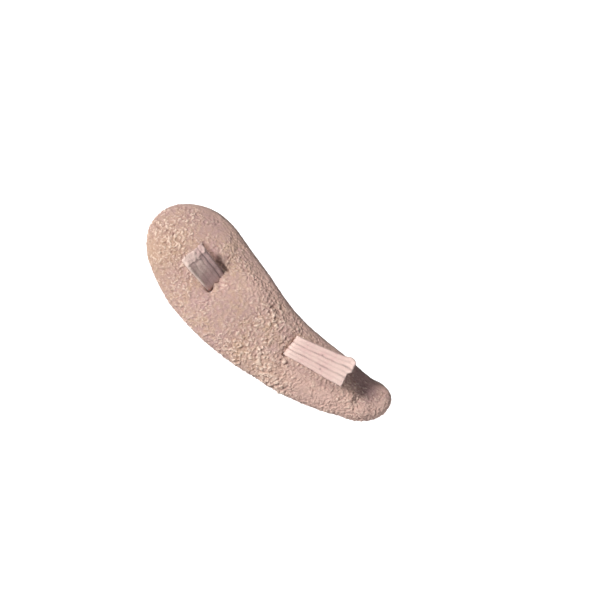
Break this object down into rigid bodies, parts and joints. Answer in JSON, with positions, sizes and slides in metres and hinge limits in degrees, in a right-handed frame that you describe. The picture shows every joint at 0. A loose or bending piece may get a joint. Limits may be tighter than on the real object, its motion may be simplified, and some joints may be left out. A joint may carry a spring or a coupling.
{
  "type": "hammer toe crest pad",
  "caption": "Padded suede crest worn under the toes, held on by a ribbed elastic band that loops over a middle toe and comes out through slits in its sole face.",
  "frame": {"origin": "middle of the toe opening, halfway between the two slits, on the axis of the toe that the elastic loop goes round", "axes": "+X along the pad from its wide end to its narrow tail, +Y from the sole face to the toe side where the loop is, +Z along the toe towards the ball of the foot and the heel"},
  "size_m": [0.063, 0.0333, 0.0226],
  "materials": {
    "suede": "rough suede nap, tan with a pink cast",
    "elastic": "ribbed braided elastic, pale pink"
  },
  "bodies": {
    "root": {"crest_pad": "suede", "elastic_band": "elastic"}
  },
  "joints": []
}
